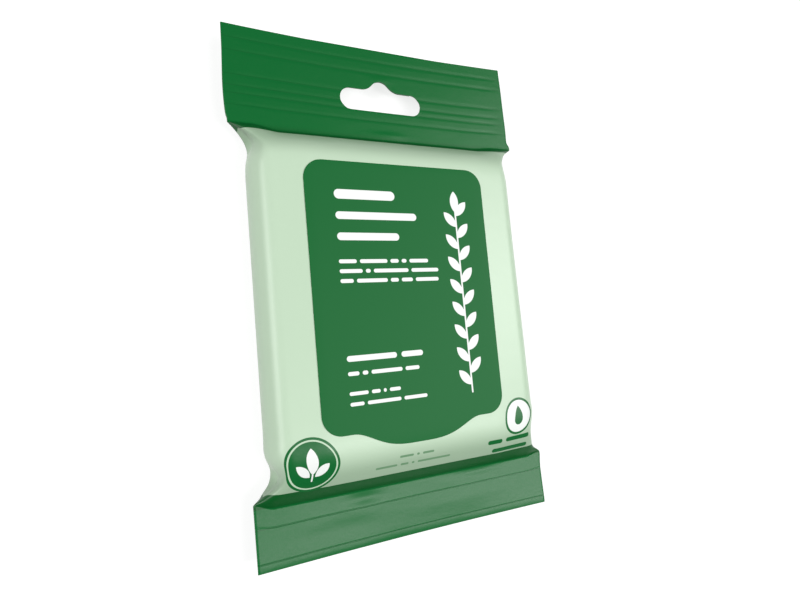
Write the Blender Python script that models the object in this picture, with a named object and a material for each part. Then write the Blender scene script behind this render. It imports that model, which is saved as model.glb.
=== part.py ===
# Travel pack of wet wipes: a flow wrapped film pack with a hang header, lying on its back.
# X runs across the pack, +Y towards the hang slot, +Z out of its front.
# The origin is on the ground under the middle of the pack. Sizes are in metres.

import math

import bmesh
import bpy

# The film envelope
FILM_WIDTH = 0.0966            # the pack laid flat, from edge to edge
PACK_LENGTH = 0.1500           # from the cut edge of the fin to the cut edge of the header
FRONT_HEIGHT = 0.0076          # over the stack of wipes, from the plane of the seals to the front
BACK_HEIGHT = 0.0060           # and to the back
SEAL_THICKNESS = 0.0004        # the two films pressed together in the header and the fin
EDGE_RADIUS = 0.0050           # the long edges of the body
FRONT_FLAT = 0.0285            # half the width of the flat part of the front, under the label
FRONT_SLOPE = 0.06             # how steeply the front falls off beside it

# The two end seals
HEADER_LENGTH = 0.0300         # from the header's cut edge to its crease
FIN_LENGTH = 0.0155            # from the fin's cut edge to its crease
HEADER_BOW = 0.0008            # how far the corners of the header curl up
FIN_BOW = 0.0013
HEADER_SAG = 0.0010            # how much lower the cut edge is in the middle of the header
HEADER_RIBS = (0.0038, 0.0076, 0.0146, 0.0178, 0.0201, 0.0235)   # pressed ribs, from the cut edge
FIN_LINES = (0.0022, 0.0109)   # fine pressed lines, from the cut edge
RIB_DEPTH = 0.00030
RIB_WIDTH = 0.0014
LINE_DEPTH = 0.00018
LINE_WIDTH = 0.0009

# The shoulders, where the film leaves the seals and goes over the stack
HEADER_SHOULDER = 0.0115       # length from the crease to the full thickness
FIN_SHOULDER = 0.0117
SHOULDER_POWER = 3.4           # 1 is a straight slope, more is rounder
HEADER_PULL = 0.0007           # how far the sides are drawn in at the shoulder
HEADER_PULL_PLACE = 0.0060     # its middle, from the crease
FIN_PULL = 0.0009
FIN_PULL_PLACE = 0.0095
PULL_REACH = 0.0040
TUCK_DEPTH = 0.0016            # the hollow tucked into each side under the corner folds
TUCK_PLACE = 0.0055
TUCK_REACH = 0.0045
HEADER_CORNER = (0.0330, 0.0420, 0.0014)   # the crease bends towards +Y from one distance off the
FIN_CORNER = (0.0420, 0.0480, 0.0018)      # middle to another, by the third length
CORNER_REACH = 0.0050          # how far along the pack that bend fades out

# The dark print runs from each seal a little way up the shoulder
HEADER_PRINT = 0.0008          # past the crease
FIN_PRINT = 0.0035

# The long seam on the back, folded flat
SEAM_ROOT = -0.0010            # where it leaves the film, from the middle
SEAM_WIDTH = 0.0120
SEAM_THICKNESS = 0.0003
SEAM_RAMP = 0.0045             # the film rises to it over this width on each side

# The hang slot
SLOT_WIDTH = 0.0280
SLOT_HEIGHT = 0.0069
SLOT_OFFSET = 0.0005           # the punch stands this much right of the middle
SLOT_FROM_EDGE = 0.0172        # its middle line, from the header's cut edge
SLOT_CROWN = 0.00315           # the round rise in the middle of its top
SLOT_CROWN_RADIUS = 0.00365
SLOT_FILLET = 0.0050

# The label that opens and closes the pack
LABEL_WIDTH = 0.0596
LABEL_RADIUS = 0.0058
LABEL_FROM_HEADER = 0.0103     # from the header's crease to its top
LABEL_FROM_FIN = 0.0170        # from the fin's crease to its lower edge beside the tab
LABEL_THICKNESS = 0.00025
LABEL_CLEARANCE = 0.0003       # to the film under it
TAB_WIDTH = 0.0420
TAB_DROP = 0.00485             # how far the pull tab reaches below the label
TAB_FULLNESS = 1.75            # 1 is a plain wave, more is a broader tab

# How finely the curves are cut
FACE_STEPS = 10
EDGE_STEPS = 7
SHOULDER_STEPS = 9
BODY_STEPS = 12
ARC_STEPS = 8
TAB_STEPS = 16
LABEL_STEPS_ACROSS = 14
LABEL_STEPS_ALONG = 24

pack_thickness = FRONT_HEIGHT + BACK_HEIGHT
half_thickness = pack_thickness / 2
half_seal = SEAL_THICKNESS / 2
header_crease = PACK_LENGTH - HEADER_LENGTH
header_print = header_crease - HEADER_PRINT
fin_print = FIN_LENGTH + FIN_PRINT
seam_end = SEAM_ROOT + SEAM_WIDTH
slot_middle = PACK_LENGTH - SLOT_FROM_EDGE
label_top = header_crease - LABEL_FROM_HEADER
label_bottom = FIN_LENGTH + LABEL_FROM_FIN


def clear_scene():
    for thing in list(bpy.data.objects):
        bpy.data.objects.remove(thing, do_unlink=True)


def material(name, color, roughness, metallic=0.0):
    made = bpy.data.materials.new(name)
    made.use_nodes = True
    shader = made.node_tree.nodes["Principled BSDF"]
    shader.inputs["Base Color"].default_value = (*color, 1.0)
    shader.inputs["Roughness"].default_value = roughness
    shader.inputs["Metallic"].default_value = metallic
    made.diffuse_color = (*color, 1.0)
    return made


def add_object(name, bm, *materials):
    mesh = bpy.data.meshes.new(name)
    bm.to_mesh(mesh)
    bm.free()
    made = bpy.data.objects.new(name, mesh)
    for each in materials:
        mesh.materials.append(each)
    bpy.context.scene.collection.objects.link(made)
    return made


# Lengths along the pack are measured from the cut edge of the fin

def bell(y, middle, reach):
    return math.exp(-((y - middle) / reach) ** 2)


def clamped(value, start, end):
    return min(max((value - start) / (end - start), 0.0), 1.0)


def smooth(value, start, end):
    share = clamped(value, start, end)
    return share * share * (3 - 2 * share)


def rise(distance, length):
    # 0 at the crease and 1 once the film lies on the stack
    return 1 - (1 - clamped(distance, 0.0, length)) ** SHOULDER_POWER


def fullness(y):
    from_header = rise(header_crease - y, HEADER_SHOULDER)
    from_fin = rise(y - FIN_LENGTH, FIN_SHOULDER)
    return min(from_header, from_fin)


def half_height(y):
    return half_seal + (half_thickness - half_seal) * fullness(y)


def side_radius(y):
    return min(EDGE_RADIUS, half_height(y))


def shoulder_pull(y):
    at_header = HEADER_PULL * bell(y, header_crease - HEADER_PULL_PLACE, PULL_REACH)
    at_fin = FIN_PULL * bell(y, FIN_LENGTH + FIN_PULL_PLACE, PULL_REACH)
    return at_header + at_fin


def side_tuck(y):
    at_header = bell(y, header_crease - TUCK_PLACE, TUCK_REACH)
    at_fin = bell(y, FIN_LENGTH + TUCK_PLACE, TUCK_REACH)
    return TUCK_DEPTH * (at_header + at_fin)


def shift_along(x, y):
    # The creases aren't straight, and the cut edge of the header sags in its middle
    shift = 0.0
    for corner, crease in ((HEADER_CORNER, header_crease), (FIN_CORNER, FIN_LENGTH)):
        start, end, most = corner
        shift += most * smooth(abs(x), start, end) * bell(y, crease, CORNER_REACH)
    middle = 1 - (x / (FILM_WIDTH / 2)) ** 2
    sag = HEADER_SAG * middle * smooth(y, header_crease, header_crease + HEADER_LENGTH / 2)
    return shift - sag


def half_width(y):
    # The film keeps its girth, so the pack gets narrower as it gets thicker
    corner_saving = (2 - math.pi / 2) * side_radius(y)
    return FILM_WIDTH / 2 - half_height(y) + corner_saving - shoulder_pull(y)


def half_girth(y):
    # From the middle of a face to the middle of a side, along the film
    corner_saving = (2 - math.pi / 2) * side_radius(y)
    return half_width(y) + half_height(y) - corner_saving


def section_point(y, along):
    # A point of a quarter of the section, at a distance along the film from the middle of a face
    width = half_width(y)
    height = half_height(y)
    radius = side_radius(y)
    flat = width - radius
    arc = radius * math.pi / 2
    if along <= flat:
        return along, height
    if along <= flat + arc:
        angle = (along - flat) / radius
        return flat + radius * math.sin(angle), height - radius * (1 - math.cos(angle))
    return width, max(height - radius - (along - flat - arc), 0.0)


def seal_plane(x, y):
    # The middle plane between the two films; the ends bow and carry the pressed lines
    across = (x / (FILM_WIDTH / 2)) ** 2 - 1 / 3
    level = BACK_HEIGHT
    if y > header_crease:
        level += HEADER_BOW * across * (y - header_crease) / HEADER_LENGTH
        for rib in HEADER_RIBS:
            level -= RIB_DEPTH * bell(y, PACK_LENGTH - rib, RIB_WIDTH / 2)
    if y < FIN_LENGTH:
        level += FIN_BOW * across * (FIN_LENGTH - y) / FIN_LENGTH
        for line in FIN_LINES:
            level -= LINE_DEPTH * bell(y, line, LINE_WIDTH / 2)
    return level


def front_fall(x, y):
    return FRONT_SLOPE * fullness(y) * max(abs(x) - FRONT_FLAT, 0.0)


def front_level(x, y):
    # The outside of the front film, away from the rounded sides
    return seal_plane(x, y) + half_height(y) * FRONT_HEIGHT / half_thickness - front_fall(x, y)


def seam_recess(x, y):
    # The back film stands in by the thickness of the seam, so that both lie on the ground
    if x < SEAM_ROOT:
        away = SEAM_ROOT - x
    else:
        away = max(x - seam_end, 0.0)
    return SEAM_THICKNESS * fullness(y) * max(1 - away / SEAM_RAMP, 0.0)


def film_point(column, y):
    face, side, zone, share, on_seam = column
    girth = half_girth(y)
    flat = girth * (half_width(PACK_LENGTH / 2) - EDGE_RADIUS) / (FILM_WIDTH / 2)
    ramp_end = abs(SEAM_ROOT - SEAM_RAMP) if side < 0 else seam_end + SEAM_RAMP
    if zone == "face":
        along = share * flat
    elif zone == "edge":
        along = flat + share * (girth - flat)
    elif zone == "flank":
        along = ramp_end + share * (flat - ramp_end)
    else:
        along = abs(share)
    x, z = section_point(y, along)
    tuck = side_tuck(y) * math.cos(math.pi / 2 * z / half_height(y)) ** 2
    x = side * (x - tuck)
    shifted = y + shift_along(x, y)
    if face == "front":
        level = z * FRONT_HEIGHT / half_thickness - front_fall(x, y) * z / half_height(y)
        return x, shifted, seal_plane(x, y) + level
    level = seal_plane(x, y) - z * BACK_HEIGHT / half_thickness + seam_recess(x, y)
    if on_seam:
        level -= SEAM_THICKNESS
    return x, shifted, level


def film_columns():
    # Once round the section: over the front from right to left and back over the rear
    face = [k / FACE_STEPS for k in range(FACE_STEPS + 1)]
    edge = [k / EDGE_STEPS for k in range(1, EDGE_STEPS + 1)]
    columns = [("front", 1, "edge", k, False) for k in reversed(edge)]
    columns += [("front", 1, "face", k, False) for k in reversed(face)]
    columns += [("front", -1, "face", k, False) for k in face[1:]]
    columns += [("front", -1, "edge", k, False) for k in edge]
    flank = (0.0, 1 / 3, 2 / 3, 1.0)
    columns += [("back", -1, "edge", k, False) for k in reversed(edge[:-1])]
    columns += [("back", -1, "flank", k, False) for k in reversed(flank)]
    columns += [("back", seam_sign(x), "seam", x, lies_on) for x, lies_on in seam_outline()]
    columns += [("back", 1, "flank", k, False) for k in flank]
    columns += [("back", 1, "edge", k, False) for k in edge]
    return columns


def seam_sign(x):
    return -1 if x < 0 else 1


def seam_outline():
    middle = (SEAM_ROOT + seam_end) / 2
    return (
        (SEAM_ROOT, False),
        (SEAM_ROOT, True),
        (middle, True),
        (seam_end, True),
        (seam_end, False),
    )


def spread(start, end, count, power=1.0):
    return [start + (end - start) * (k / count) ** power for k in range(count + 1)]


def film_stations():
    # Close together over the creases, ribs and shoulders, and far apart on the plain body
    stations = [0.0, fin_print, header_print, PACK_LENGTH]
    for line in FIN_LINES:
        stations += [line - LINE_WIDTH, line, line + LINE_WIDTH]
    for rib in HEADER_RIBS:
        place = PACK_LENGTH - rib
        stations += [place - RIB_WIDTH / 2, place, place + RIB_WIDTH / 2]
    fin_top = FIN_LENGTH + FIN_SHOULDER
    header_foot = header_crease - HEADER_SHOULDER
    stations += spread(FIN_LENGTH, fin_top, SHOULDER_STEPS, 1.6)
    stations += spread(fin_top, header_foot, BODY_STEPS)
    stations += spread(header_crease, header_foot, SHOULDER_STEPS, 1.6)
    kept = []
    for y in sorted(stations):
        if 0 <= y <= PACK_LENGTH and (not kept or y - kept[-1] > RIB_WIDTH / 10):
            kept.append(y)
    return kept


def build_film(pale, dark):
    # A flat sheet is rolled into a tube, as the wrapping machine does, and its ends are closed
    columns = film_columns()
    stations = film_stations()
    bm = bmesh.new()
    bmesh.ops.create_grid(bm, x_segments=len(columns) - 1, y_segments=len(stations) - 1, size=1.0)
    for v in bm.verts:
        i = round((v.co.x + 1) / 2 * (len(columns) - 1))
        j = round((v.co.y + 1) / 2 * (len(stations) - 1))
        x, y, z = film_point(columns[i], stations[j])
        v.co = (x, y - PACK_LENGTH / 2, z)
    bmesh.ops.remove_doubles(bm, verts=bm.verts, dist=1e-6)
    open_edges = [e for e in bm.edges if e.is_boundary]
    bmesh.ops.holes_fill(bm, edges=open_edges, sides=0)
    bmesh.ops.recalc_face_normals(bm, faces=bm.faces)
    for f in bm.faces:
        center = f.calc_center_median()
        y = center.y + PACK_LENGTH / 2
        above_fin = y - shift_along(center.x, fin_print) > fin_print
        below_header = y - shift_along(center.x, header_print) < header_print
        f.material_index = 0 if above_fin and below_header else 1
    return add_object("film_pack", bm, pale, dark)


def arc_points(center_x, center_y, radius, start, end, steps=ARC_STEPS):
    points = []
    for k in range(steps + 1):
        angle = math.radians(start + (end - start) * k / steps)
        points.append((center_x + radius * math.cos(angle), center_y + radius * math.sin(angle)))
    return points


def slot_outline():
    # A bar with round ends, and a round rise with fillets in the middle of its top
    end_radius = SLOT_HEIGHT / 2
    end_x = SLOT_WIDTH / 2 - end_radius
    top = slot_middle + end_radius
    crown_y = top + SLOT_CROWN - SLOT_CROWN_RADIUS
    fillet_y = top + SLOT_FILLET
    reach = SLOT_CROWN_RADIUS + SLOT_FILLET
    fillet_x = math.sqrt(max(reach ** 2 - (fillet_y - crown_y) ** 2, 0.0))
    turn = math.degrees(math.atan2(fillet_y - crown_y, fillet_x))
    outline = arc_points(-end_x, slot_middle, end_radius, 90, 270)
    outline += arc_points(end_x, slot_middle, end_radius, -90, 90)
    outline += arc_points(fillet_x, fillet_y, SLOT_FILLET, 270, 180 + turn, 4)
    outline += arc_points(0, crown_y, SLOT_CROWN_RADIUS, turn, 180 - turn)[1:-1]
    outline += arc_points(-fillet_x, fillet_y, SLOT_FILLET, -turn, -90, 4)
    return [(x + SLOT_OFFSET, y) for x, y in outline]


def label_outline():
    # A rounded rectangle whose lower edge swells into the pull tab
    corner_x = LABEL_WIDTH / 2 - LABEL_RADIUS
    low = label_bottom + LABEL_RADIUS
    high = label_top - LABEL_RADIUS
    outline = arc_points(-corner_x, low, LABEL_RADIUS, 180, 270)
    for k in range(TAB_STEPS + 1):
        share = 2 * k / TAB_STEPS - 1
        drop = TAB_DROP * (1 + math.cos(math.pi * abs(share) ** TAB_FULLNESS)) / 2
        outline.append((TAB_WIDTH / 2 * share, label_bottom - drop))
    outline += arc_points(corner_x, low, LABEL_RADIUS, 270, 360)
    outline += arc_points(corner_x, high, LABEL_RADIUS, 0, 90)
    outline += arc_points(-corner_x, high, LABEL_RADIUS, 90, 180)
    return outline


def build_cutter(name, outline, bottom, top):
    bm = bmesh.new()
    ring = [bm.verts.new((x, y - PACK_LENGTH / 2, bottom)) for x, y in outline]
    base = bm.faces.new(ring)
    raised = bmesh.ops.extrude_face_region(bm, geom=[base])
    lifted = [g for g in raised["geom"] if isinstance(g, bmesh.types.BMVert)]
    bmesh.ops.translate(bm, verts=lifted, vec=(0, 0, top - bottom))
    bmesh.ops.recalc_face_normals(bm, faces=bm.faces)
    made = add_object(name, bm)
    made.hide_render = True
    made.display_type = "WIRE"
    return made


def boolean(target, cutter, operation):
    cut = target.modifiers.new(cutter.name, "BOOLEAN")
    cut.object = cutter
    cut.operation = operation
    cut.solver = "EXACT"


def build_label(green):
    # A thin sheet that follows the front film, trimmed to the label's outline
    margin = LABEL_RADIUS / 3
    half = LABEL_WIDTH / 2 + margin
    start = label_bottom - TAB_DROP - margin
    length = label_top + margin - start
    bm = bmesh.new()
    bmesh.ops.create_grid(
        bm, x_segments=LABEL_STEPS_ACROSS, y_segments=LABEL_STEPS_ALONG, size=1.0
    )
    for v in bm.verts:
        x = half * v.co.x
        y = start + length * (v.co.y + 1) / 2
        v.co = (x, y - PACK_LENGTH / 2, front_level(x, y) + LABEL_CLEARANCE)
    raised = bmesh.ops.extrude_face_region(bm, geom=list(bm.faces))
    lifted = [g for g in raised["geom"] if isinstance(g, bmesh.types.BMVert)]
    bmesh.ops.translate(bm, verts=lifted, vec=(0, 0, LABEL_THICKNESS))
    bmesh.ops.recalc_face_normals(bm, faces=bm.faces)
    label = add_object("reseal_label", bm, green)
    trim = build_cutter("label_trim", label_outline(), 0.0, 2 * pack_thickness)
    boolean(label, trim, "INTERSECT")
    return label


def build_pack():
    clear_scene()
    pale = material("pale_film", (0.560, 0.720, 0.530), 0.38)
    dark = material("dark_print", (0.010, 0.150, 0.045), 0.36)
    green = material("label_film", (0.020, 0.165, 0.058), 0.34)
    film = build_film(pale, dark)
    slot = build_cutter("slot_punch", slot_outline(), -pack_thickness, 2 * pack_thickness)
    boolean(film, slot, "DIFFERENCE")
    label = build_label(green)
    for thing in (film, label):
        thing.data.shade_smooth()
        thing.data.set_sharp_from_angle(angle=math.radians(40))


build_pack()
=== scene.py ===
import math

import bmesh
import bpy
from mathutils import Matrix, Vector, noise


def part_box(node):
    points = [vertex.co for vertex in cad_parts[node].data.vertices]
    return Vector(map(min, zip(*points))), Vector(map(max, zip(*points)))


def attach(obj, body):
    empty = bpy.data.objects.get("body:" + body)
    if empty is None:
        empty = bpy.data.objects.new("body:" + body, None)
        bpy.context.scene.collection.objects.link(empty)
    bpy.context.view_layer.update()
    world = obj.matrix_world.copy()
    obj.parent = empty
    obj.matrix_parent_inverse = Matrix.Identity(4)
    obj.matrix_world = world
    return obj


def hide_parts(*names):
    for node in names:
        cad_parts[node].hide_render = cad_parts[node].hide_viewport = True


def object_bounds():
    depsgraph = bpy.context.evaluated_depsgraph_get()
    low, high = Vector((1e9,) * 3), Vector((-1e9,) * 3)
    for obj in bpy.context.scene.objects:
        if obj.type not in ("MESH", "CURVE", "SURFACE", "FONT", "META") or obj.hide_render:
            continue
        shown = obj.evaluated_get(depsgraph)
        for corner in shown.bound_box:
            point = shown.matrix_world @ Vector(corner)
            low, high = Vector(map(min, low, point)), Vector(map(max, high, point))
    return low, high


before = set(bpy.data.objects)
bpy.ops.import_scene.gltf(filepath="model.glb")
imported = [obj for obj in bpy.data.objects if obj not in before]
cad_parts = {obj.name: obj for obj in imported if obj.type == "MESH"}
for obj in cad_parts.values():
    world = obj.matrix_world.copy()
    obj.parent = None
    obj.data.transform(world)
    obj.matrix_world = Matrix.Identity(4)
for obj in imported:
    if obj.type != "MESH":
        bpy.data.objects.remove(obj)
cadLow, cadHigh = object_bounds()
packLow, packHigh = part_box("film_pack")
mm = 0.001

# Lengths along the pack run from the cut edge of the fin, which lies at packLow.y
packLength = packHigh.y - packLow.y

film = {
    "width": 96.6 * mm,
    "seal": 0.36 * mm,            # thickness of the pressed ends
    "front": 7.6 * mm,            # how far the front stands above the seals
    "back": 6.0 * mm,
    "edgeRadius": 5.5 * mm,
    "frontFlat": 28.5 * mm,       # half width of the flat part under the label
    "frontTilt": 4,               # degrees that the front falls off beside the label
    "softness": 0.9 * mm,
    "bodyShift": 0.28 * mm,       # the body sits a little to the right of its seals
    "swellStart": 0.75,           # the side swells grow from this share of the half width
    "creaseReach": 5 * mm,        # how far along the pack the shift of a corner is felt
    "tuckHeight": 0.8,            # share of the half thickness over which the tuck fades
    "foldSides": (0.90, 0.99),    # shares of the half width and of the height
    "foldHeights": (0.1, 0.7),    # over which the fold at a corner grows
    "sharpAngle": 60,
}
header = {
    "length": 30 * mm,
    "bow": 0.8 * mm,
    "sag": 0.45 * mm,             # the cut edge is this much lower in its middle
    "sagReach": 15 * mm,
    "ribs": (3.8, 7.6, 14.6, 17.8, 20.1, 23.5),   # mm from the cut edge
    "ribDepth": 0.12 * mm,
    "ribWidth": 0.9 * mm,
    "ribEnd": 40 * mm,            # they fade out from here to the side edges
    "softness": 0.12 * mm,
    "sides": (11.5 * mm, 3.4),    # length and roundness of the shoulder, 1 is a straight slope
    "front": (12.5 * mm, 2.7),
    # Size, place inside the crease and reach along the pack of three forms at the corners:
    "pull": (0.7 * mm, 6 * mm, 4 * mm),       # the side edges stand in
    "tuck": (2.5 * mm, 4 * mm, 3.4 * mm),     # the side walls are folded in
    "fold": (1.0 * mm, 5.5 * mm, 3.2 * mm),   # the left front corner stands further in
    "cornerShift": (1.4 * mm, 0.9 * mm),      # how far its corners are pushed along, left and right
    "corners": (33 * mm, 42 * mm),            # between these distances from the middle it grows
}
fin = {
    "length": 15.5 * mm,
    "narrower": 0.5 * mm,         # at each side
    "widens": (0.8, 1.6),         # to the full width, over these shares of its length
    "bow": 1.3 * mm,
    "lines": (2.2, 10.9),         # mm from the cut edge
    "lineDepth": 0.06 * mm,
    "lineWidth": 0.26 * mm,
    "curl": 0.14 * mm,            # the cut edge bends down
    "curlReach": 1.6 * mm,
    "softness": 0.08 * mm,
    "sides": (11.7 * mm, 3.4),
    "front": (16 * mm, 2.2),
    "pull": (0.9 * mm, 9.5 * mm, 4 * mm),
    "tuck": (2.9 * mm, 7.5 * mm, 3.8 * mm),
    "fold": (1.3 * mm, 8 * mm, 3.6 * mm),
    "rounder": (2 * mm, 10 * mm, 8 * mm),     # added to the edge radius: size, place and reach
    "cornerShift": (1.8 * mm, 1.0 * mm),
    "corners": (42 * mm, 48 * mm),
}
seam = {"root": -1 * mm, "end": 11 * mm, "thickness": 0.3 * mm, "ramp": 4.5 * mm}
dents = (                         # x, along, reach across, reach along and height, in mm
    (0.5, 140.4, 3.0, 1.0, 0.16),
    (2.0, 121.8, 6.0, 1.0, 0.22),
    (-16.0, 13.4, 5.5, 1.6, -0.30),
    (23.0, 14.4, 9.0, 0.9, -0.16),
    (-24.0, 6.4, 12.0, 2.4, -0.16),
    (14.0, 6.8, 14.0, 2.4, 0.08),
)
wave = {
    "size": 17 * mm,
    "height": 0.10 * mm,
    "stretch": 0.8,
    "level": 30 * mm,             # where the noise is cut
    "seed": 5.3,
    "free": (20 * mm, 38 * mm),   # the stack holds the film up to the first
    "held": (0.9, 1.0),           # shares of the way round over which the side edge holds it
}
sideSwells = (                    # side, place along, reach and distance, in mm
    (1, 119.6, 2.2, 1.2),
    (1, 121.2, 1.2, 0.6),
    (1, 127.0, 7.0, 0.35),
    (1, 152.0, 8.0, -0.45),
    (-1, 131.0, 9.0, -0.42),
    (1, 115.0, 3.0, 0.45),
    (1, 50.0, 26.0, 0.5),
    (1, 18.8, 1.8, -0.35),
    (1, 24.0, 3.0, 1.0),
    (1, 31.0, 9.0, 0.65),
    (-1, 25.0, 4.0, -0.5),
    (-1, 33.0, 5.0, 0.25),
    (1, 15.0, 2.4, 0.5),
    (-1, 19.4, 1.7, -0.75),
)
grid = {
    "edgeShare": 0.58,            # columns stand closer from here to the side edges
    "columnStep": 0.022,
    "edgeStep": 0.0092,
    "finRows": 33 * mm,           # rows stand close together up to here
    "headerRows": 104 * mm,       # and from here on
    "rowStep": 0.42 * mm,
    "bodyStep": 1.3 * mm,
    "lineRows": (4, 0.12 * mm),   # how many rows each side of a pressed line, and their step
    "creaseRows": (3, 0.15 * mm),
    "leastStep": 0.08 * mm,
    "weld": 0.001 * mm,
}

halfThickness = (film["front"] + film["back"]) / 2
halfWidth = film["width"] / 2
sealLevel = packLow.z + film["back"]
headerCrease = packLength - header["length"]


def bell(place, middle, reach):
    return math.exp(-((place - middle) / reach) ** 2)


def smooth(value, start, end):
    share = min(max((value - start) / (end - start), 0.0), 1.0)
    return share * share * (3 - 2 * share)


def softPositive(value, softness):
    # 0 below zero and the value above it, with a soft bend between
    if value > 12 * softness:     # from there on the two are the same
        return value
    return softness * math.log1p(math.exp(value / softness))


def rise(distance, end, part):
    length, power = end[part]
    share = min(softPositive(distance, end["softness"]) / length, 1.0)
    return 1 - (1 - share) ** power


def fullness(along, part="sides"):
    # 0 at the seals and 1 over the stack
    return min(rise(headerCrease - along, header, part), rise(along - fin["length"], fin, part))


def frontHeight(along):
    # From the plane of the seals to the middle of the front film
    return film["seal"] / 2 + (film["front"] - film["seal"] / 2) * fullness(along, "front")


def insideCreases(along, form):
    # A form that is strongest a little inside each crease
    size, place, reach = header[form]
    atHeader = size * bell(along, headerCrease - place, reach)
    size, place, reach = fin[form]
    return atHeader + size * bell(along, fin["length"] + place, reach)


def shoulderPull(along):
    start, end = [share * fin["length"] for share in fin["widens"]]
    return insideCreases(along, "pull") + fin["narrower"] * (1 - smooth(along, start, end))


def shiftAlong(x, along):
    # The creases aren't straight: the film slides along the pack near them
    shift = 0.0
    for end, crease in ((header, headerCrease), (fin, fin["length"])):
        atCorner = end["cornerShift"][x > 0] * smooth(abs(x), *end["corners"])
        shift += atCorner * bell(along, crease, film["creaseReach"])
    middle = 1 - (x / halfWidth) ** 2
    return shift - header["sag"] * middle * smooth(along, headerCrease, headerCrease + header["sagReach"])


class Section:
    # One cut across the pack, seen as a quarter of a rounded box
    def __init__(self, along):
        self.along = along
        self.full = fullness(along)
        self.height = film["seal"] / 2 + (halfThickness - film["seal"] / 2) * self.full
        more, place, reach = fin["rounder"]
        rounder = more * bell(along, fin["length"] + place, reach)
        self.radius = min(film["edgeRadius"] + rounder, self.height)
        # The film keeps its girth, so its sides draw in as the pack gets thicker
        saving = (2 - math.pi / 2) * self.radius
        self.width = halfWidth - self.height + saving - shoulderPull(along)
        self.tuck = insideCreases(along, "tuck")
        self.fold = insideCreases(along, "fold")
        self.frontScale = frontHeight(along) / self.height

    def point(self, share, tilt):
        # share runs from 0 in the middle of a face to 1 in the middle of the side
        tilt = math.radians(tilt) * self.full
        radius = self.radius
        flat = film["frontFlat"]
        for attempt in range(3):      # where the section is low, the radius is made to fit
            slope = (self.width - flat - radius * (1 - math.sin(tilt))) / math.cos(tilt)
            arcTop = self.height - slope * math.sin(tilt)
            if arcTop < radius * math.cos(tilt):
                radius = arcTop / math.cos(tilt)
        arc = radius * (math.pi / 2 - tilt)
        wall = max(arcTop - radius * math.cos(tilt), 0.0)
        gone = share * (flat + slope + arc + wall)
        if gone <= flat:
            return gone, self.height
        if gone <= flat + slope:
            gone -= flat
            return flat + gone * math.cos(tilt), self.height - gone * math.sin(tilt)
        if gone <= flat + slope + arc:
            angle = tilt + (gone - flat - slope) / radius
            center = arcTop - radius * math.cos(tilt)
            return self.width - radius + radius * math.sin(angle), center + radius * math.cos(angle)
        return self.width, max(flat + slope + arc + wall - gone, 0.0)

    def softPoint(self, share, tilt):
        # The film bends softly, so a point is the mean of its neighbours
        reach = film["softness"] / halfWidth * self.full
        x = z = 0.0
        places = [share + reach * k for k in (-1, -0.5, 0, 0.5, 1)]
        for place in places:
            mirrored = 2 - place if place > 1 else abs(place)
            px, pz = self.point(mirrored, tilt)
            x += math.copysign(px, place) / len(places)
            z += (-pz if place > 1 else pz) / len(places)
        return x, z


def sealPlane(x, along):
    # The level of the seals with their bow, ribs, lines, curl and dents
    across = (x / halfWidth) ** 2 - 1 / 3     # its mean over the width is 0
    level = sealLevel
    if along > headerCrease:
        level += header["bow"] * across * (along - headerCrease) / header["length"]
    pressed = header["ribDepth"] * (1 - smooth(abs(x), header["ribEnd"], halfWidth))
    for rib in header["ribs"]:
        level -= pressed * bell(along, packLength - rib * mm, header["ribWidth"] / 2)
    if along < fin["length"]:
        level += fin["bow"] * across * (fin["length"] - along) / fin["length"]
    for line in fin["lines"]:
        level -= fin["lineDepth"] * bell(along, line * mm, fin["lineWidth"] / 2)
    level -= fin["curl"] * max(1 - along / fin["curlReach"], 0.0) ** 2
    for dentX, dentY, reachX, reachY, height in dents:
        level += height * mm * bell(x, dentX * mm, reachX * mm) * bell(along, dentY * mm, reachY * mm)
    return level


def sideways(x, section):
    # The two side edges aren't quite alike
    swell = film["bodyShift"] * section.full
    for side, middle, reach, distance in sideSwells:
        atSide = smooth(side * x, film["swellStart"] * halfWidth, halfWidth)
        swell += distance * mm * atSide * bell(section.along, middle * mm, reach * mm)
    return swell


def waviness(x, y):
    place = Vector((x, y * wave["stretch"], wave["level"])) / wave["size"]
    return wave["height"] * noise.noise(place + Vector((wave["seed"], 0, 0)))


def freedom(x, share, section):
    # 0 where the stack or a side edge holds the front film, and 1 where nothing does
    free = smooth(abs(x), *wave["free"]) * (1 - smooth(share, *wave["held"])) + (1 - section.full)
    return min(free, 1)


def seamRecess(x, full):
    away = seam["root"] - x if x < seam["root"] else max(x - seam["end"], 0.0)
    return seam["thickness"] * full * max(1 - away / seam["ramp"], 0.0)


def filmPoint(section, column):
    face, side, share, onSeam = column
    front = face == "front"
    x, z = section.softPoint(share, film["frontTilt"] if front else 0)
    inWall = min(z / section.height / film["tuckHeight"], 1)
    if front:
        atSide = smooth(x / section.width, *film["foldSides"])
        x -= section.fold * atSide * smooth(z / section.height, *film["foldHeights"]) * (side < 0)
    x = side * (x - section.tuck * math.cos(math.pi / 2 * inWall) ** 2)
    x += sideways(x, section)
    y = packLow.y + section.along + shiftAlong(x, section.along)
    plane = sealPlane(x, section.along)
    if front:
        waved = waviness(x, y) * freedom(x, share, section)
        return Vector((x, y, plane + z * section.frontScale + waved))
    level = plane - z * film["back"] / halfThickness + waviness(x, y) * (1 - section.full)
    level += seamRecess(x, section.full)
    if onSeam:
        level -= seam["thickness"]
    return Vector((x, y, level))


def spread(start, end, step):
    count = max(round((end - start) / step), 1)
    return [start + (end - start) * k / count for k in range(count)]


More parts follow.
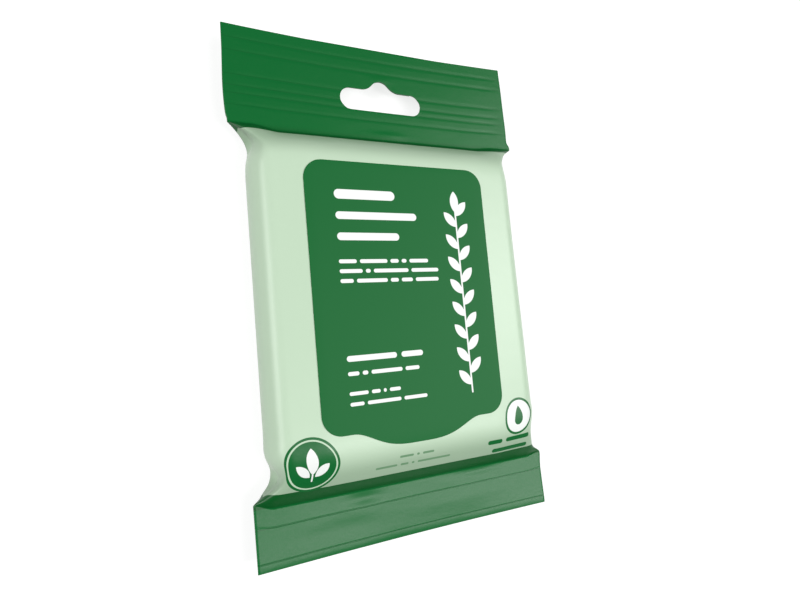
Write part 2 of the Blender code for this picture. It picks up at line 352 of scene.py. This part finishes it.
def filmColumns():
    # Once round the film, from the right side over the front to the left and back under it
    shares = spread(0, grid["edgeShare"], grid["columnStep"])
    shares += spread(grid["edgeShare"], 1, grid["edgeStep"]) + [1.0]
    columns = [("front", 1, s, False) for s in reversed(shares)]
    columns += [("front", -1, s, False) for s in shares[1:]]
    rootShare = -seam["root"] / halfWidth
    endShare = seam["end"] / halfWidth
    columns += [("back", -1, s, False) for s in reversed(shares[:-1]) if s > rootShare]
    columns += [("back", -1, rootShare, False), ("back", -1, rootShare, True), ("back", 1, 0.0, True)]
    columns += [("back", 1, s, True) for s in shares[1:] if s < endShare]
    columns += [("back", 1, endShare, True), ("back", 1, endShare, False)]
    columns += [("back", 1, s, False) for s in shares if s > endShare]
    return columns


def rowsBeside(middle, count, step):
    return [middle + k * step for k in range(-count, count + 1)]


def filmRows():
    # Close together over the seals, ribs and shoulders
    rows = spread(0, grid["finRows"], grid["rowStep"])
    rows += spread(grid["finRows"], grid["headerRows"], grid["bodyStep"])
    rows += spread(grid["headerRows"], packLength, grid["rowStep"])
    for line in fin["lines"]:
        rows += rowsBeside(line * mm, *grid["lineRows"])
    for crease in (fin["length"], headerCrease):
        rows += rowsBeside(crease, *grid["creaseRows"])
    rows.sort()
    kept = [0.0]
    for row in rows:
        if row - kept[-1] > grid["leastStep"]:
            kept.append(row)
    return kept + [packLength]


def acrossFilm(column):
    # The place on the flat sheet: the front is within half a width of 0, the back beyond it
    face, side, share, onSeam = column
    if face == "front":
        return side * share * halfWidth
    return -2 * halfWidth - side * share * halfWidth


def finishPiece(name, bm):
    mesh = bpy.data.meshes.new(name)
    bm.to_mesh(mesh)
    bm.free()
    mesh.shade_smooth()
    piece = bpy.data.objects.new(name, mesh)
    bpy.context.scene.collection.objects.link(piece)
    return piece


def buildFilm():
    # A flat sheet is rolled into a tube, as the wrapping machine does, and its ends are closed
    columns = filmColumns()
    sections = [Section(row) for row in filmRows()]
    bm = bmesh.new()
    bmesh.ops.create_grid(bm, x_segments=len(columns) - 1, y_segments=len(sections) - 1, size=1)
    points = [[filmPoint(s, c) for s in sections] for c in columns]
    points[-1] = points[0]        # the sheet's two edges meet at the right side
    fromFin = []
    for line in points:
        gone = [0.0]
        for a, b in zip(line, line[1:]):
            gone.append(gone[-1] + (b - a).length)
        fromFin.append(gone)
    finMap = bm.loops.layers.uv.new("fromFin")
    headerMap = bm.loops.layers.uv.new("fromHeader")
    places = {}
    for v in bm.verts:
        i = round((v.co.x + 1) / 2 * (len(columns) - 1))
        j = round((v.co.y + 1) / 2 * (len(sections) - 1))
        places[v] = i, j
    for f in bm.faces:
        for loop in f.loops:
            i, j = places[loop.vert]
            across = acrossFilm(columns[i])
            loop[finMap].uv = (across, fromFin[i][j])
            loop[headerMap].uv = (across, fromFin[i][-1] - fromFin[i][j])
    for v, (i, j) in places.items():
        v.co = points[i][j]
    bmesh.ops.remove_doubles(bm, verts=bm.verts, dist=grid["weld"])
    for end in (-1, 1):
        rim = [e for e in bm.edges if e.is_boundary and e.verts[0].co.y * end > 0]
        bmesh.ops.triangle_fill(bm, edges=rim, normal=(0, end, 0))
    bmesh.ops.recalc_face_normals(bm, faces=bm.faces)
    return finishPiece("filmEnvelope", bm)


def applyModifiers(piece):
    graph = bpy.context.evaluated_depsgraph_get()
    made = bpy.data.meshes.new_from_object(piece.evaluated_get(graph))
    piece.modifiers.clear()
    old = piece.data
    piece.data = made
    bpy.data.meshes.remove(old)


def cutBy(piece, cutter, operation):
    cut = piece.modifiers.new("cut", "BOOLEAN")
    cut.object = cutter
    cut.operation = operation
    cut.solver = "EXACT"
    applyModifiers(piece)
    bpy.data.objects.remove(cutter)


def raiseFaces(bm, faces, height):
    raised = bmesh.ops.extrude_face_region(bm, geom=faces)
    lifted = [g for g in raised["geom"] if isinstance(g, bmesh.types.BMVert)]
    bmesh.ops.translate(bm, verts=lifted, vec=(0, 0, height))
    bmesh.ops.recalc_face_normals(bm, faces=bm.faces)


def prism(name, outline, bottom, top):
    bm = bmesh.new()
    base = bm.faces.new([bm.verts.new((p.x, p.y, bottom)) for p in outline])
    raiseFaces(bm, [base], top - bottom)
    return finishPiece(name, bm)


def arcPoints(center, radius, start, end, steps):
    points = []
    for k in range(steps + 1):
        angle = math.radians(start + (end - start) * k / steps)
        points.append(center + radius * Vector((math.cos(angle), math.sin(angle))))
    return points


slot = {
    "width": 28 * mm,
    "height": 6.9 * mm,
    "middle": 0.5 * mm,
    "fromEdge": 17.2 * mm,
    "crown": 3.15 * mm,           # how far the bump in its top stands above the slot
    "crownRadius": 3.65 * mm,
    "fillet": 5 * mm,
    "endSteps": 24,
    "crownSteps": 16,
    "filletSteps": 10,
}


def slotOutline():
    endRadius = slot["height"] / 2
    middle = packHigh.y - slot["fromEdge"]
    endX = slot["width"] / 2 - endRadius
    top = middle + endRadius
    crownY = top + slot["crown"] - slot["crownRadius"]
    fillet, filletSteps = slot["fillet"], slot["filletSteps"]
    filletY = top + fillet
    reach = slot["crownRadius"] + fillet
    filletX = math.sqrt(reach ** 2 - (filletY - crownY) ** 2)
    turn = math.degrees(math.atan2(filletY - crownY, filletX))
    crown = arcPoints(Vector((0, crownY)), slot["crownRadius"], turn, 180 - turn, slot["crownSteps"])
    outline = arcPoints(Vector((-endX, middle)), endRadius, 90, 270, slot["endSteps"])
    outline += arcPoints(Vector((endX, middle)), endRadius, -90, 90, slot["endSteps"])
    outline += arcPoints(Vector((filletX, filletY)), fillet, 270, 180 + turn, filletSteps)
    outline += crown[1:-1]
    outline += arcPoints(Vector((-filletX, filletY)), fillet, -turn, -90, filletSteps)
    return [p + Vector((slot["middle"], 0)) for p in outline]


filmPiece = buildFilm()
cutBy(filmPiece, prism("slotPunch", slotOutline(), packLow.z, packHigh.z), "DIFFERENCE")
filmPiece.data.set_sharp_from_angle(angle=math.radians(film["sharpAngle"]))
print("film envelope rolled, sealed and punched,", len(filmPiece.data.polygons), "faces")

label = {
    "width": 59.6 * mm,
    "bottom": 32.5 * mm,
    "top": 109.7 * mm,
    "radius": 5.8 * mm,
    "tabWidth": 42 * mm,
    "tabDrop": 4.85 * mm,
    "tabFullness": 1.75,          # 1 is a plain wave, more is a broader tab
    "thickness": 0.10 * mm,
    "lift": 0.03 * mm,
    "margin": 2 * mm,             # the sheet before it is cut is this much larger
    "columns": 48,
    "rows": 66,
    "cornerSteps": 16,
    "tabSteps": 60,
    "placeSteps": 14,
    "cutterTop": 5 * mm,          # how far the cutter reaches above the pack
    "sharpAngle": 40,
}


def labelOutline():
    radius, steps = label["radius"], label["cornerSteps"]
    cornerX = label["width"] / 2 - radius
    low = packLow.y + label["bottom"] + radius
    high = packLow.y + label["top"] - radius
    outline = arcPoints(Vector((-cornerX, low)), radius, 180, 270, steps)
    for k in range(label["tabSteps"] + 1):
        share = 2 * k / label["tabSteps"] - 1
        drop = label["tabDrop"] * (1 + math.cos(math.pi * abs(share) ** label["tabFullness"])) / 2
        outline.append(Vector((label["tabWidth"] / 2 * share, packLow.y + label["bottom"] - drop)))
    outline += arcPoints(Vector((cornerX, low)), radius, 270, 360, steps)
    outline += arcPoints(Vector((cornerX, high)), radius, 0, 90, steps)
    outline += arcPoints(Vector((-cornerX, high)), radius, 90, 180, steps)
    return outline


def frontLevel(x, along, sections):
    # The section's point over x is found by halving the range of shares
    section = sections.setdefault(round(along / mm, 3), Section(along))
    low, high = 0.0, 1.0
    for step in range(label["placeSteps"]):
        middle = (low + high) / 2
        if section.softPoint(middle, film["frontTilt"])[0] < abs(x):
            low = middle
        else:
            high = middle
    height = section.softPoint(low, film["frontTilt"])[1]
    waved = waviness(x, packLow.y + along) * freedom(x, low, section)
    return sealPlane(x, along) + height * section.frontScale + waved


def buildLabel():
    half = label["width"] / 2 + label["margin"]
    start = label["bottom"] - label["tabDrop"] - label["margin"]
    length = label["top"] + label["margin"] - start
    bm = bmesh.new()
    bmesh.ops.create_grid(bm, x_segments=label["columns"], y_segments=label["rows"], size=1)
    sections = {}
    for v in bm.verts:
        x = half * v.co.x
        along = start + length * (v.co.y + 1) / 2
        v.co = (x, packLow.y + along, frontLevel(x, along, sections) + label["lift"])
    raiseFaces(bm, list(bm.faces), label["thickness"])
    piece = finishPiece("resealLabel", bm)
    cutter = prism("labelTrim", labelOutline(), packLow.z, packHigh.z + label["cutterTop"])
    cutBy(piece, cutter, "INTERSECT")
    piece.data.set_sharp_from_angle(angle=math.radians(label["sharpAngle"]))
    return piece


labelPiece = buildLabel()
print("label laid on the front,", len(labelPiece.data.polygons), "faces")


def sRgb(red, green, blue):
    # Levels of 0 to 255 on the sRGB curve, as linear light
    def straight(value):
        value /= 255
        return value / 12.92 if value <= 0.04045 else ((value + 0.055) / 1.055) ** 2.4
    return straight(red), straight(green), straight(blue), 1


def feed(tree, socket, value):
    if isinstance(value, bpy.types.NodeSocket):
        tree.links.new(value, socket)
    else:
        socket.default_value = value


def calc(tree, operation, *values, clamp=False):
    node = tree.nodes.new("ShaderNodeMath")
    node.operation = operation
    node.use_clamp = clamp
    for socket, value in zip(node.inputs, values):
        feed(tree, socket, value)
    return node.outputs[0]


def blend(tree, mask, under, over):
    node = tree.nodes.new("ShaderNodeMix")
    node.data_type = "RGBA"
    feed(tree, node.inputs["Factor"], mask)
    feed(tree, node.inputs["A"], under)
    feed(tree, node.inputs["B"], over)
    return node.outputs["Result"]


def together(tree, masks):
    total = masks[0]
    for mask in masks[1:]:
        total = calc(tree, "MAXIMUM", total, mask)
    return total


def newGroup(name, inputs, outputs):
    tree = bpy.data.node_groups.new(name, "ShaderNodeTree")
    for each in inputs:
        tree.interface.new_socket(each, in_out="INPUT", socket_type="NodeSocketFloat")
    for each in outputs:
        tree.interface.new_socket(each, in_out="OUTPUT", socket_type="NodeSocketFloat")
    start = tree.nodes.new("NodeGroupInput")
    end = tree.nodes.new("NodeGroupOutput")
    return tree, start.outputs, end.inputs


def placeGroup(tree, group, **values):
    node = tree.nodes.new("ShaderNodeGroup")
    node.node_tree = group
    for name, value in values.items():
        feed(tree, node.inputs[name], value)
    return node.outputs


inkSoftness = 0.07 * mm           # how far the edge of a printed shape fades


def inked(tree, inside):
    # 1 inside a printed shape and 0 outside it, from the distance inside its edge
    return calc(tree, "ADD", calc(tree, "DIVIDE", inside, inkSoftness), 0.5, clamp=True)


def fromMiddle(tree, given):
    return [
        calc(tree, "SUBTRACT", given["x"], given["middleX"]),
        calc(tree, "SUBTRACT", given["y"], given["middleY"]),
    ]


def distanceOf(tree, across, along):
    squares = [calc(tree, "MULTIPLY", part, part) for part in (across, along)]
    return calc(tree, "SQRT", calc(tree, "ADD", *squares))


def makeBarGroup():
    # A bar with rounded ends
    tree, given, out = newGroup(
        "printedBar", ("x", "y", "middleX", "middleY", "reachX", "reachY", "corner"), ("mask",))
    gaps = []
    for axis, offset in zip("XY", fromMiddle(tree, given)):
        away = calc(tree, "SUBTRACT", calc(tree, "ABSOLUTE", offset), given["reach" + axis])
        gaps.append(calc(tree, "MAXIMUM", calc(tree, "ADD", away, given["corner"]), 0.0))
    inside = calc(tree, "SUBTRACT", given["corner"], distanceOf(tree, *gaps))
    tree.links.new(inked(tree, inside), out["mask"])
    return tree


def makeLeafGroup():
    # A pointed leaf: where two discs overlap
    tree, given, out = newGroup(
        "printedLeaf", ("x", "y", "middleX", "middleY", "turn", "radius", "offset"), ("mask",))
    dx, dy = fromMiddle(tree, given)
    sine = calc(tree, "SINE", given["turn"])
    cosine = calc(tree, "COSINE", given["turn"])
    across = calc(tree, "ADD", calc(tree, "MULTIPLY", dx, cosine), calc(tree, "MULTIPLY", dy, sine))
    along = calc(tree, "SUBTRACT", calc(tree, "MULTIPLY", dy, cosine), calc(tree, "MULTIPLY", dx, sine))
    wide = calc(tree, "ADD", calc(tree, "ABSOLUTE", across), given["offset"])
    inside = calc(tree, "SUBTRACT", given["radius"], distanceOf(tree, wide, along))
    tree.links.new(inked(tree, inside), out["mask"])
    return tree


def makeDiscGroup():
    tree, given, out = newGroup("printedDisc", ("x", "y", "middleX", "middleY", "radius"), ("mask",))
    inside = calc(tree, "SUBTRACT", given["radius"], distanceOf(tree, *fromMiddle(tree, given)))
    tree.links.new(inked(tree, inside), out["mask"])
    return tree


satinNoise = {                    # size, detail and stretch of each pattern
    "grain": (0.55 * mm, 2, (1, 1, 1)),
    "crinkle": (5 * mm, 3, (0.45, 1, 1)),
    "cloud": (14 * mm, 2, (0.6, 1, 1)),
}


def makeSatinGroup():
    # Fine unevenness of packing film: a height for the bump, and a share that varies about 0.5
    tree, given, out = newGroup("satinFilm", tuple(satinNoise), ("height", "grainShare"))
    where = tree.nodes.new("ShaderNodeTexCoord").outputs["Object"]

    def noiseOf(name):
        size, detail, stretch = satinNoise[name]
        mapping = tree.nodes.new("ShaderNodeMapping")
        mapping.inputs["Scale"].default_value = stretch
        tree.links.new(where, mapping.inputs["Vector"])
        node = tree.nodes.new("ShaderNodeTexNoise")
        node.inputs["Scale"].default_value = 1 / size
        node.inputs["Detail"].default_value = detail
        tree.links.new(mapping.outputs[0], node.inputs["Vector"])
        return node.outputs["Fac"]

    grain = noiseOf("grain")
    height = calc(tree, "MULTIPLY", grain, given["grain"])
    for name in ("crinkle", "cloud"):
        height = calc(tree, "MULTIPLY_ADD", noiseOf(name), given[name], height)
    tree.links.new(height, out["height"])
    tree.links.new(grain, out["grainShare"])
    return tree


barGroup = makeBarGroup()
leafGroup = makeLeafGroup()
discGroup = makeDiscGroup()
satinGroup = makeSatinGroup()


def newMaterial(name, specular):
    made = bpy.data.materials.new(name)
    made.use_nodes = True
    shader = made.node_tree.nodes["Principled BSDF"]
    shader.inputs["Specular IOR Level"].default_value = specular
    return made, made.node_tree, shader


def satinFinish(tree, shader, finish):
    # Bump and uneven roughness of a film
    satin = placeGroup(tree, satinGroup, **{name: finish[name] for name in satinNoise})
    bump = tree.nodes.new("ShaderNodeBump")
    bump.inputs["Strength"].default_value = 1
    bump.inputs["Distance"].default_value = 1
    tree.links.new(satin["height"], bump.inputs["Height"])
    tree.links.new(bump.outputs["Normal"], shader.inputs["Normal"])
    lowest = finish["roughness"] - finish["roughnessSpread"] / 2
    uneven = calc(tree, "MULTIPLY_ADD", satin["grainShare"], finish["roughnessSpread"], lowest)
    tree.links.new(uneven, shader.inputs["Roughness"])


def drawBar(tree, x, y, left, right, bottom, top, rounded=True):
    # Places and sizes of printed shapes are in mm
    reachX = (right - left) / 2
    reachY = (top - bottom) / 2
    corner = min(reachX, reachY) * mm if rounded else 0.0
    return placeGroup(
        tree, barGroup, x=x, y=y,
        middleX=(left + right) / 2 * mm, middleY=(bottom + top) / 2 * mm,
        reachX=reachX * mm, reachY=reachY * mm, corner=corner)["mask"]


def drawBand(tree, x, y, bottom, top):
    # A bar past both edges of the sheet: its ends are square, and its ink has half strength
    wide = 4 * halfWidth / mm
    return drawBar(tree, x, y, -wide, wide, bottom, top, rounded=False)


def drawRows(tree, x, y, rows):
    bars = [drawBar(tree, x, y, a, b, low, high) for low, high, words in rows for a, b in words]
    return together(tree, bars)


def drawLeaf(tree, x, y, middleX, middleY, turn, length, width):
    radius = (length ** 2 + width ** 2) / (4 * width)
    return placeGroup(
        tree, leafGroup, x=x, y=y, middleX=middleX * mm, middleY=middleY * mm,
        turn=math.radians(turn), radius=radius * mm, offset=(radius - width / 2) * mm)["mask"]


def drawDisc(tree, x, y, middleX, middleY, radius):
    return placeGroup(
        tree, discGroup, x=x, y=y, middleX=middleX * mm, middleY=middleY * mm,
        radius=radius * mm)["mask"]


def fadeOver(tree, value, reach):
    # 0 before the first of the two places and 1 past the second
    node = tree.nodes.new("ShaderNodeMapRange")
    node.interpolation_type = "SMOOTHSTEP"
    tree.links.new(value, node.inputs["Value"])
    node.inputs["From Min"].default_value, node.inputs["From Max"].default_value = reach
    return node.outputs["Result"]


filmFinish = {
    "roughness": 0.35,
    "roughnessSpread": 0.14,
    "grain": 0.008 * mm,
    "crinkle": 0.07 * mm,
    "cloud": 0.14 * mm,
    "specular": 0.42,
    "pale": sRgb(198, 222, 195),
    "dark": sRgb(0, 104, 44),
    "endShade": sRgb(164, 190, 162),   # painted shade, greying the film towards both ends
    "finSlopeShade": sRgb(0, 68, 10),       # painted shade on the slope above the fin
    "folded": sRgb(0, 88, 34),      # painted shade beside the header's crease
    # painted shade along the pressed lines of the fin and the ribs of the header
    "crease": sRgb(0, 78, 30),
    "white": sRgb(246, 250, 246),
    "fineInk": sRgb(112, 152, 116),
    # Places are measured on the film from its cut edges
    # the painted shade at each end fades out between these places
    "endShadeFin": (23 * mm, 31 * mm),
    "endShadeHeader": (34.5 * mm, 42 * mm),
    "finFold": 16.1 * mm,           # painted shade on the slope runs from here to the end of the dark print
    "finPrint": 20.55 * mm,
    "headerFold": (27.8 * mm, 30.3 * mm),
    "headerPrint": 31.9 * mm,
    "finLine": 0.24,                # widths of the dark lines, in mm
    "headerLine": 0.12,
}
roundel = {                         # in mm
    "x": -33.9,
    "y": 27.8,
    "discs": ((7.8, "dark"), (7.1, "pale"), (6.65, "dark")),
    # Each leaf's middle from the roundel's, turn in degrees, length and width
    "leaves": ((0, 1.2, 0, 7.4, 3.3), (-2.7, -1.4, 48, 5.2, 2.4), (2.7, -1.4, -48, 5.2, 2.4)),
    "stem": (-0.22, 0.22, -4.6, -1.2),    # left, right, bottom and top
}
badge = {                           # in mm
    "x": 36.1,
    "y": 32.1,
    "discs": ((5.8, "dark"), (5.05, "white")),
    "foot": -1.0,                   # the middle of the drop's round end, from the badge's
    "footRadius": 1.7,
    "leaf": (8.6, 3.4),             # length and width of the leaf whose upper half is its tip
    "leafReach": 5,
}
# Rows of plain bars stand for the lines of print: bottom, top and the ends of each bar, in mm
finePrint = (
    (25.8, 26.5, ((-7.4, -2.8), (-1.7, -0.8), (0.3, 4.2))),
    (23.2, 23.9, ((-14.8, -7.9), (-6.8, -4.2), (-3.1, -2.2), (-1.1, 10.2))),
)
boldPrint = (
    (24.4, 25.9, ((24.2, 29.8), (31.3, 41.0))),
    (21.1, 22.6, ((26.3, 40.4),)),
)


def filmGround(tree, x, fromFin, fromHeader):
    # Pale in the middle, with painted shade greying it towards both ends, dark print at both ends, and
    # painted shade on the fin's slope, beside the header's crease and along the pressed lines
    finEnd = inked(tree, calc(tree, "SUBTRACT", filmFinish["finPrint"], fromFin))
    headerEnd = inked(tree, calc(tree, "SUBTRACT", filmFinish["headerPrint"], fromHeader))
    finSide = fadeOver(tree, fromFin, filmFinish["endShadeFin"])
    headerSide = fadeOver(tree, fromHeader, filmFinish["endShadeHeader"])
    # painted shade greys the film towards both ends
    clearOfEndShade = calc(tree, "MULTIPLY", finSide, headerSide)
    color = blend(tree, clearOfEndShade, filmFinish["endShade"], filmFinish["pale"])
    color = blend(tree, together(tree, [finEnd, headerEnd]), color, filmFinish["dark"])
    # painted shade on the slope above the fin
    finFold = drawBand(tree, x, fromFin, filmFinish["finFold"] / mm, filmFinish["finPrint"] / mm)
    # painted shade beside the header's crease
    headerFold = calc(tree, "MULTIPLY", fadeOver(tree, fromHeader, filmFinish["headerFold"]), headerEnd)
    color = blend(tree, finFold, color, filmFinish["finSlopeShade"])
    color = blend(tree, headerFold, color, filmFinish["folded"])
    # painted shade: dark lines along the pressed lines and the ribs
    lines = []
    for end, y, width in ((fin["lines"], fromFin, "finLine"), (header["ribs"], fromHeader, "headerLine")):
        half = filmFinish[width] / 2
        lines += [drawBand(tree, x, y, line - half, line + half) for line in end]
    return blend(tree, together(tree, lines), color, filmFinish["crease"])


def printDiscs(tree, x, y, color, mark):
    for radius, ink in mark["discs"]:
        disc = drawDisc(tree, x, y, mark["x"], mark["y"], radius)
        color = blend(tree, disc, color, filmFinish[ink])
    return color


def printRoundel(tree, x, y, color):
    # A sprig of three leaves
    color = printDiscs(tree, x, y, color, roundel)
    middleX, middleY = roundel["x"], roundel["y"]
    left, right, bottom, top = roundel["stem"]
    sprig = [drawBar(tree, x, y, middleX + left, middleX + right, middleY + bottom, middleY + top)]
    for offX, offY, turn, length, width in roundel["leaves"]:
        sprig.append(drawLeaf(tree, x, y, middleX + offX, middleY + offY, turn, length, width))
    return blend(tree, together(tree, sprig), color, filmFinish["white"])


def printBadge(tree, x, y, color):
    # A drop: a round end, and the upper half of a leaf on it
    color = printDiscs(tree, x, y, color, badge)
    middleX, reach = badge["x"], badge["leafReach"]
    foot = badge["y"] + badge["foot"]
    end = drawDisc(tree, x, y, middleX, foot, badge["footRadius"])
    leaf = drawLeaf(tree, x, y, middleX, foot, 0, *badge["leaf"])
    above = drawBar(tree, x, y, middleX - reach, middleX + reach, foot, foot + reach)
    drop = together(tree, [end, calc(tree, "MULTIPLY", leaf, above)])
    return blend(tree, drop, color, filmFinish["dark"])


def filmMaterial():
    made, tree, shader = newMaterial("printedFilm", filmFinish["specular"])
    satinFinish(tree, shader, filmFinish)
    coords = {}
    for name in ("fromFin", "fromHeader"):
        uv = tree.nodes.new("ShaderNodeUVMap")
        uv.uv_map = name
        split = tree.nodes.new("ShaderNodeSeparateXYZ")
        tree.links.new(uv.outputs["UV"], split.inputs[0])
        coords[name] = split.outputs
    x = coords["fromFin"]["X"]
    y = coords["fromFin"]["Y"]
    color = filmGround(tree, x, y, coords["fromHeader"]["Y"])
    color = printRoundel(tree, x, y, color)
    color = printBadge(tree, x, y, color)
    color = blend(tree, drawRows(tree, x, y, finePrint), color, filmFinish["fineInk"])
    color = blend(tree, drawRows(tree, x, y, boldPrint), color, filmFinish["dark"])
    tree.links.new(color, shader.inputs["Base Color"])
    return made


labelFinish = {
    "roughness": 0.58,
    "roughnessSpread": 0.05,
    "grain": 0.002 * mm,
    "crinkle": 0.01 * mm,
    "cloud": 0.04 * mm,
    "specular": 0.30,
    "green": sRgb(6, 104, 45),
    "white": sRgb(250, 252, 250),
}
labelPrint = (
    (98.5, 101.3, ((-21.2, -2.0),)),
    (92.6, 94.8, ((-21.2, 4.8),)),
    (86.5, 88.7, ((-21.2, -1.6),)),
    (79.9, 81.0, ((-21.3, -15.9), (-14.9, -6.2), (-5.2, -2.5), (-1.5, 0.1), (1.1, 7.5))),
    (77.1, 78.2, ((-21.3, -14.3), (-13.3, -11.8), (-10.8, 0.5), (1.5, 10.8))),
    (74.3, 75.4, ((-21.3, -17.3), (-16.3, -6.6), (-5.6, -3.0), (-2.0, 1.7), (2.7, 10.6))),
    (52.3, 53.9, ((-21.3, -5.8), (-4.3, 2.8))),
    (48.4, 49.5, ((-21.3, -17.9), (-16.9, -15.2), (-14.2, -4.4), (-3.4, 1.2))),
    (43.0, 44.0, ((-21.3, -15.6), (-14.6, -11.9), (-10.9, -10.0), (-9.0, -5.5))),
    (40.1, 41.1, ((-21.3, -17.1), (-16.1, -5.6), (-4.6, 3.0))),
)
vine = {                          # in mm
    "x": 18.9,
    "bottom": 39.5,
    "top": 102.4,
    "stem": 0.55,
    "stemEnd": 4,                 # how far below the top the stem ends
    "step": 7.0,
    "first": 2.5,                 # the lowest leaf's foot, from the bottom
    "bare": 6,                    # room kept for the leaf at the tip
    "leaf": (6.2, 2.7),           # length and width
    "turn": 42,                   # degrees
    "tip": (3.4, 6.8, 3.0),       # its middle from the top, length and width
}


def drawVine(tree, x, y):
    # Leaves stand by turns on both sides of a stem, with one at its tip
    middleX, halfStem = vine["x"], vine["stem"] / 2
    stemTop = vine["top"] - vine["stemEnd"]
    shapes = [drawBar(tree, x, y, middleX - halfStem, middleX + halfStem, vine["bottom"], stemTop)]
    length, width = vine["leaf"]
    lean = math.radians(vine["turn"])
    pairs = int((vine["top"] - vine["bottom"] - vine["bare"]) // vine["step"])
    for k in range(pairs):
        foot = vine["bottom"] + vine["first"] + k * vine["step"]
        for side in (-1, 1):
            leafX = middleX + side * math.sin(lean) * length / 2
            leafY = foot + math.cos(lean) * length / 2 + (side > 0) * vine["step"] / 2
            shapes.append(drawLeaf(tree, x, y, leafX, leafY, -side * vine["turn"], length, width))
    below, length, width = vine["tip"]
    shapes.append(drawLeaf(tree, x, y, middleX, vine["top"] - below, 0, length, width))
    return together(tree, shapes)


def labelMaterial():
    made, tree, shader = newMaterial("labelFilm", labelFinish["specular"])
    satinFinish(tree, shader, labelFinish)
    split = tree.nodes.new("ShaderNodeSeparateXYZ")
    tree.links.new(tree.nodes.new("ShaderNodeTexCoord").outputs["Object"], split.inputs[0])
    x = split.outputs["X"]
    y = calc(tree, "SUBTRACT", split.outputs["Y"], packLow.y)
    shapes = together(tree, [drawRows(tree, x, y, labelPrint), drawVine(tree, x, y)])
    color = blend(tree, shapes, labelFinish["green"], labelFinish["white"])
    tree.links.new(color, shader.inputs["Base Color"])
    return made


for piece, material in ((filmPiece, filmMaterial()), (labelPiece, labelMaterial())):
    piece.data.materials.clear()
    piece.data.materials.append(material)
print("print and finishes made")

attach(filmPiece, "root")
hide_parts("film_pack")
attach(labelPiece, "root")
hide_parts("reseal_label")

# The camera was solved from the four outer corners and the label's edges
camera = {
    "place": (-80.48 * mm, -20.96 * mm, 162.85 * mm),
    "right": (0.887966, -0.089297, 0.451158),
    "up": (0.039380, 0.992129, 0.118864),
    "back": (-0.458221, -0.087780, 0.884493),
    "focalPixels": 576.84,
    "imageWidth": 800,
    "sensor": 36,                 # mm
    "clipStart": 5 * mm,
}


def buildCamera():
    data = bpy.data.cameras.new("camera")
    data.sensor_width = camera["sensor"]
    data.lens = camera["focalPixels"] / camera["imageWidth"] * data.sensor_width
    data.clip_start = camera["clipStart"]
    thing = bpy.data.objects.new("camera", data)
    bpy.context.scene.collection.objects.link(thing)
    turn = Matrix((camera["right"], camera["up"], camera["back"])).transposed()
    thing.matrix_world = Matrix.Translation(camera["place"]) @ turn.to_4x4()
    bpy.context.scene.camera = thing


studio = {
    "distance": 0.9,              # of the lamps, in metres
    "world": 0.12,
    "floor": 0.35,
    "floorLift": 0.78,            # added for the camera and reflections alone, so that it is seen white
    "floorSpecular": 0.2,
    "floorRoughness": 0.9,
    "floorReach": 4,              # metres
    "floorGap": 0.1 * mm,
    # name: direction from the pack, its width and height in metres, and strength in watts
    "lamps": {
        "leftSoftbox": ((-0.74, 0.04, 0.67), 0.46, 0.74, 5.1),
        "lowSoftbox": ((0.40, -0.28, 0.87), 0.70, 0.235, 3.0),
        "rightSoftbox": ((0.73, 0.07, 0.68), 0.30, 0.34, 2.5),
        "cornerSoftbox": ((0.58, 0.34, 0.74), 0.26, 0.24, 0.45),
    },
}
white = (1, 1, 1, 1)


def buildLamp(name, direction, width, height, power):
    data = bpy.data.lights.new(name, "AREA")
    data.shape = "ELLIPSE"
    data.size = width
    data.size_y = height
    data.energy = power
    thing = bpy.data.objects.new(name, data)
    bpy.context.scene.collection.objects.link(thing)
    # Its height lies across the world's X, and it shines towards the pack
    toLamp = Vector(direction).normalized()
    up = toLamp.cross(Vector((1, 0, 0))).normalized()
    turn = Matrix((up.cross(toLamp), up, toLamp)).transposed()
    thing.matrix_world = Matrix.Translation(toLamp * studio["distance"]) @ turn.to_4x4()


def cameraShare(tree):
    # 1 for what the camera, a reflection or a clear piece sees, and 0 for light on the object
    rays = tree.nodes.new("ShaderNodeLightPath")
    seen = calc(tree, "MAXIMUM", rays.outputs["Is Camera Ray"], rays.outputs["Is Glossy Ray"])
    return calc(tree, "MAXIMUM", seen, rays.outputs["Is Transmission Ray"])


def buildFloor():
    bm = bmesh.new()
    bmesh.ops.create_grid(bm, x_segments=1, y_segments=1, size=studio["floorReach"])
    bmesh.ops.translate(bm, verts=bm.verts, vec=(0, 0, cadLow.z - studio["floorGap"]))
    floor = finishPiece("floor", bm)
    made, tree, shader = newMaterial("paleFloor", studio["floorSpecular"])
    shader.inputs["Base Color"].default_value = (studio["floor"],) * 3 + (1,)
    shader.inputs["Roughness"].default_value = studio["floorRoughness"]
    shader.inputs["Emission Color"].default_value = white
    lift = calc(tree, "MULTIPLY", cameraShare(tree), studio["floorLift"])
    tree.links.new(lift, shader.inputs["Emission Strength"])
    floor.data.materials.append(made)


def buildWorld():
    world = bpy.data.worlds.new("studio")
    bpy.context.scene.world = world
    world.use_nodes = True
    backdrop = world.node_tree.nodes["Background"]
    backdrop.inputs["Color"].default_value = white
    backdrop.inputs["Strength"].default_value = studio["world"]


buildCamera()
buildFloor()
buildWorld()
for name, settings in studio["lamps"].items():
    buildLamp(name, *settings)
bpy.context.scene.view_settings.view_transform = "Standard"
print("camera, floor and lamps placed")
